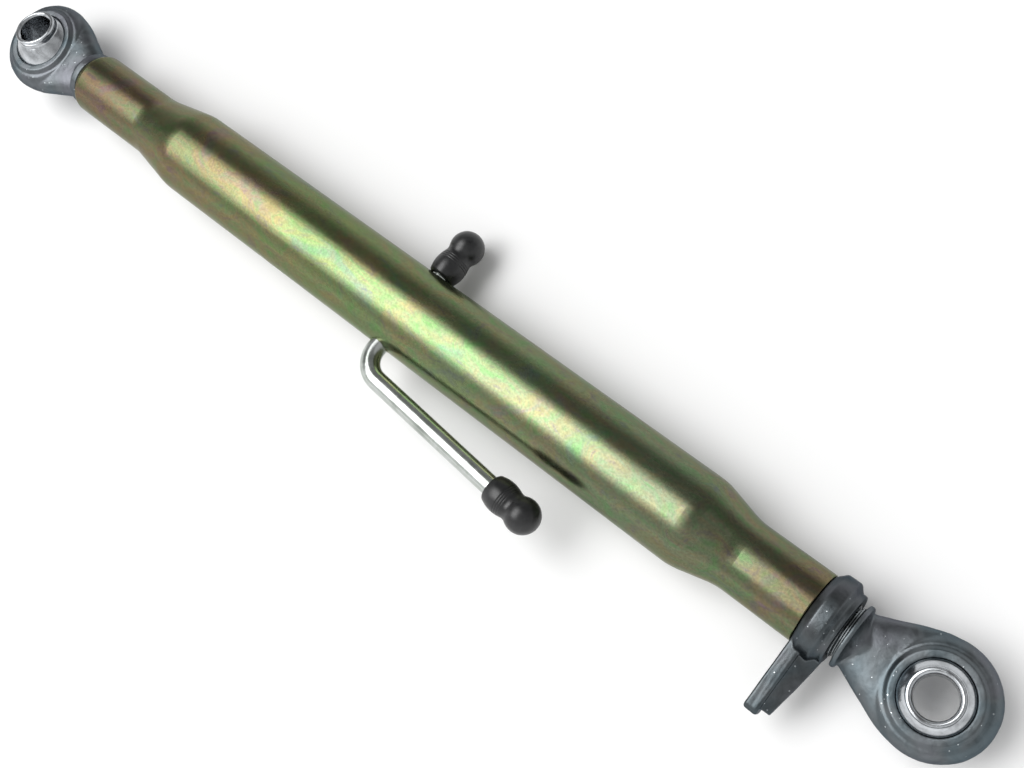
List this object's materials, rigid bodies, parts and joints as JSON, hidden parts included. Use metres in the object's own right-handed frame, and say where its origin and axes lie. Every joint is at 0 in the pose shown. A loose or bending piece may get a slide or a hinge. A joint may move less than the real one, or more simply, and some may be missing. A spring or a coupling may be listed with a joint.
{
  "type": "tractor top link",
  "caption": "Turnbuckle top link: swaged tube with a ball eye screwed into each end, a lever lock nut and a swinging bent-rod handle.",
  "frame": {"origin": "centre of the left ball, on the axis of its bore", "axes": "+X along the link from the left ball to the right ball, +Z along the eyes' bore axis, +Y to the side of the handle's short grip"},
  "size_m": [0.9013, 0.1467, 0.0636],
  "materials": {
    "yellow_chromate": "iridescent yellow zinc chromate over drawn steel tube",
    "zinc_forging": "blue-grey zinc plate over a shot-blasted forging",
    "bright_ball": "bright zinc plate over turned and ground steel",
    "dark_zinc": "dark zinc plate over a forging",
    "zinc_rod": "bright zinc plate over drawn bar",
    "black_grip": "soft black moulded plastic"
  },
  "bodies": {
    "left_end": {"left_eye": "zinc_forging"},
    "left_ball": {"left_ball": "bright_ball"},
    "lock_nut": {"lock_nut": "dark_zinc"},
    "tube": {"tube": "yellow_chromate"},
    "handle": {"handle_rod": "zinc_rod", "handle_grip_long": "black_grip", "handle_grip_short": "black_grip"},
    "right_end": {"right_eye": "zinc_forging"},
    "right_ball": {"right_ball": "bright_ball"}
  },
  "joints": [
    {"name": "left_ball_tilt", "type": "hinge", "parent": "left_end", "child": "left_ball", "pos_m": [0, 0, 0], "axis": [1, 0, 0], "range_deg": [-3, 27]},
    {"name": "tube_travel", "type": "slide", "parent": "left_end", "child": "lock_nut", "axis": [1, 0, 0], "range_m": [0, 0.2]},
    {"name": "tube_turn", "type": "hinge", "parent": "lock_nut", "child": "tube", "pos_m": [0.4036, 0, 0], "axis": [1, 0, 0], "range_deg": [0, 24000]},
    {"name": "right_end_travel", "type": "slide", "parent": "lock_nut", "child": "right_end", "axis": [1, 0, 0], "range_m": [0, 0.2]},
    {"name": "handle_swing", "type": "hinge", "parent": "tube", "child": "handle", "pos_m": [0.4101, 0, 0], "axis": [0, 0.9781, -0.2079], "continuous": true},
    {"name": "right_ball_tilt", "type": "hinge", "parent": "right_end", "child": "right_ball", "pos_m": [0.8285, 0, 0], "axis": [1, 0, 0], "range_deg": [-16, 16]}
  ],
  "couplings": [
    {"joint": "tube_travel", "follows": "tube_turn", "m_per_rad": 0.00047746},
    {"joint": "right_end_travel", "follows": "tube_turn", "m_per_rad": 0.00047746}
  ]
}
